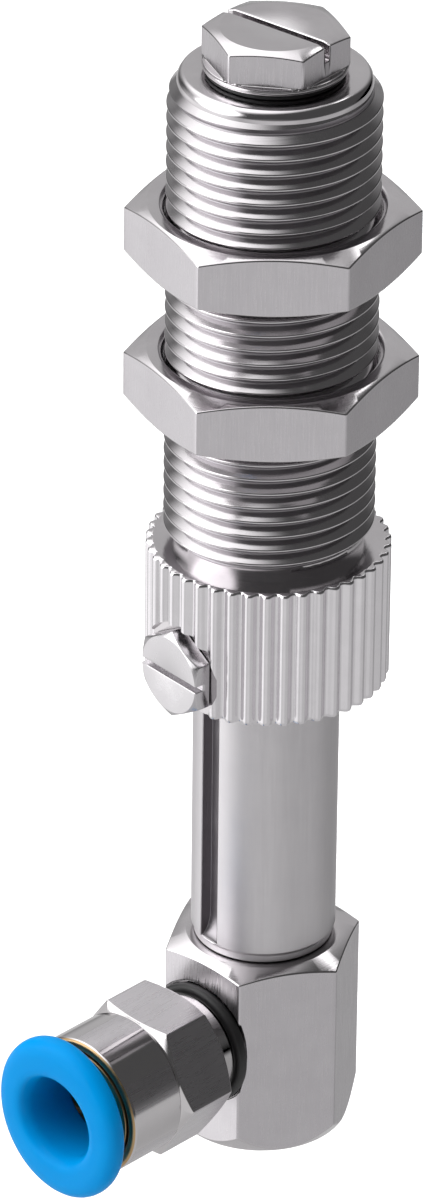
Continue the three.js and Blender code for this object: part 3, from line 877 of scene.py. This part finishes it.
def lowerBush(look):
    body = turned(softened(lifted(ringOutline(look), level), look["ease"]), 96)
    hole = facingOut(drill(look["holeRadius"], 6.0, 9.2, 32), sleeve["keyAngle"], keyLevel)
    carved(body, hole)
    edged(body, 0.0, fromAngle=200.0, creaseFrom=35.0)
    return placed(body, "lower_bush", "sleeve", ["lower_bush"], [bronzeSintered],
                  (0, 0, 0))


clip = {"radii": (5.75, 6.5), "heights": (70.1, 71.1), "ease": 0.12, "gap": 2.4, "edge": 0.05}


def circlip(look):
    body = turned(softened(lifted(ringOutline(look), level), look["ease"]), 96)
    half = look["gap"] / 2
    carved(body, block((-half, 3, level + 69), (half, 9, level + 73)))
    edged(body, look["edge"])
    return placed(body, "piston_circlip", "plunger", ["piston_circlip"],
                  [steelTurned], (0, 0, 0))


lowerBush(bush)
circlip(clip)

spring = {"meanRadius": 7.2, "wire": 0.5, "activeTurns": 8, "endTurns": 1.0, "endPitch": 1.02,
          "seats": (70.0, 107.5), "seatGap": 0.2, "restLength": 37.1, "travel": 20.0,
          "around": 16, "stepsPerTurn": 48}


def compressionSpring(look):
    # Closed at both ends: the last turn at each end lies on its neighbour.
    low = level + look["seats"][0] + look["seatGap"]
    high = level + look["seats"][1] - look["seatGap"]
    wire = look["wire"]
    length = high - low - 2 * wire
    closed = look["endTurns"] * look["endPitch"]
    turns = look["activeTurns"] + 2 * look["endTurns"]
    steps = int(turns * look["stepsPerTurn"])
    points, faces = [], []
    activePitch = (length - 2 * closed) / look["activeTurns"]
    for step in range(steps + 1):
        turnNow = turns * step / steps
        if turnNow < look["endTurns"]:
            rise = turnNow * look["endPitch"]
        elif turnNow > turns - look["endTurns"]:
            rise = length - (turns - turnNow) * look["endPitch"]
        else:
            rise = closed + (turnNow - look["endTurns"]) * activePitch
        angle = fullTurn * turnNow
        for side in range(look["around"]):
            about = fullTurn * side / look["around"]
            radius = look["meanRadius"] + wire * math.cos(about)
            points.append(polar(radius, angle, low + wire + rise + wire * math.sin(about)))
    around = look["around"]
    for step in range(steps):
        for side in range(around):
            after = (side + 1) % around
            faces.append((step * around + side, (step + 1) * around + side,
                          (step + 1) * around + after, step * around + after))
    faces.append(tuple(range(around)))
    faces.append(tuple(range((steps + 1) * around - 1, steps * around - 1, -1)))
    piece = toPiece("spring", points, faces)
    placed(piece, "compression_spring", "sleeve", ["compression_spring"],
           [springWire], (0, 0, 0), weighted=False)
    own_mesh(piece)
    return piece


compressionSpring(spring)
print("inner pieces made")


# floor, light and camera
ground = {"half": 6.0, "drop": 0.06, "colour": "#f4f4f4"}  # metres


def floor(look):
    mesh = bpy.data.meshes.new("floor")
    half = look["half"]
    mesh.from_pydata([(-half, -half, 0), (half, -half, 0), (half, half, 0), (-half, half, 0)], [],
                     [(0, 1, 2, 3)])
    made = bpy.data.objects.new("floor", mesh)
    scene.collection.objects.link(made)
    made.location.z = cadBox[0].z - look["drop"]
    material = emptyMaterial("paleFloor", {
        "Base Color": linear(look["colour"]), "Roughness": 0.9, "Specular IOR Level": 0.0})[0]
    made.data.materials.append(material)
    made.visible_glossy = False


overhead = {"azimuth": -10, "elevation": 68, "distance": 1.2, "size": 1.4, "power": 20.0,
            "aim": -0.03}


def softLight(name, look):
    # An area light that looks at the object's middle.
    light = bpy.data.lights.new(name, "AREA")
    light.energy = look["power"]
    light.size = look["size"]
    made = bpy.data.objects.new(name, light)
    scene.collection.objects.link(made)
    away = direction(look["azimuth"], look["elevation"])
    made.location = Vector((0, 0, look["aim"])) + away * look["distance"]
    made.rotation_mode = "QUATERNION"
    made.rotation_quaternion = away.to_track_quat("Z", "Y")
    made.visible_glossy = False


# The studio is a set of soft panels round the object. Each has the azimuth and elevation of its
# middle, the angle out to which it is even, the angle over which it fades, and its brightness.
studio = {
    "base": 0.09,
    "panels": {
        "floorBounce": (0.0, -90.0, 76.0, 9.0, 0.52),
        "key": (-28.0, 16.0, 25.0, 10.0, 2.5),
        "left": (-45.0, -12.0, 18.0, 32.0, 0.66),
        "highLeft": (-71.0, 62.0, 14.0, 36.0, 1.8),
        "behind": (-136.0, 29.0, 20.0, 26.0, 0.5),
        "front": (40.0, -22.0, 12.0, 24.0, 0.16),
        "strip": (190.0, 49.0, 1.5, 4.0, 3.0),
        "flagRight": (168.0, -24.0, 12.0, 24.0, -0.2),
    },
}


def studioWorld(look):
    world = bpy.data.worlds.new("studio")
    world.use_nodes = True
    scene.world = world
    tree = world.node_tree
    tree.nodes.clear()
    way = addNode(tree, "TexCoord").outputs["Generated"]
    total = look["base"]
    for azimuth, elevation, even, fade, strength in look["panels"].values():
        near = addNode(tree, "VectorMath", {0: way, 1: direction(azimuth, elevation)},
                       operation="DOT_PRODUCT")
        lobe = addNode(tree, "MapRange", {
            "Value": near.outputs["Value"], "From Min": math.cos(math.radians(even + fade)),
            "From Max": math.cos(math.radians(even)), "To Min": 0.0,
            "To Max": strength}, interpolation_type="SMOOTHSTEP")
        total = addNode(tree, "Math", {0: lobe.outputs[0], 1: total}, operation="ADD").outputs[0]
    glow = addNode(tree, "Background", {"Strength": total, "Color": (1, 1, 1, 1)})
    addNode(tree, "OutputWorld", {"Surface": glow.outputs[0]})


floor(ground)
studioWorld(studio)
softLight("overhead", overhead)

# Angles in degrees; distances, the aim's height and the lens in millimetres.
view = {"azimuth": 43.5, "elevation": 29.31, "roll": 0.628, "distance": 798.4,
        "right": -5.182, "up": 13.587, "aim": -42.74, "lens": 250.13, "sensor": 36.0,
        "near": 50.0, "far": 50000.0}


def camera(look):
    turn = math.radians(look["azimuth"])
    back = direction(look["azimuth"], look["elevation"])
    side = Vector((math.cos(turn), math.sin(turn), 0))
    top = back.cross(side)
    roll = math.radians(look["roll"])
    right = side * math.cos(roll) + top * math.sin(roll)
    up = top * math.cos(roll) - side * math.sin(roll)
    made = bpy.data.objects.new("camera", bpy.data.cameras.new("camera"))
    scene.collection.objects.link(made)
    made.data.lens = look["lens"]
    made.data.sensor_width = look["sensor"]
    made.data.clip_start = look["near"] * mm
    made.data.clip_end = look["far"] * mm
    place = Vector((0, 0, look["aim"])) + back * look["distance"]
    place += right * look["right"] + up * look["up"]
    stance = Matrix((right, up, back)).transposed().to_4x4()
    made.matrix_world = Matrix.Translation(place * mm) @ stance
    scene.camera = made


camera(view)
print("stage set")
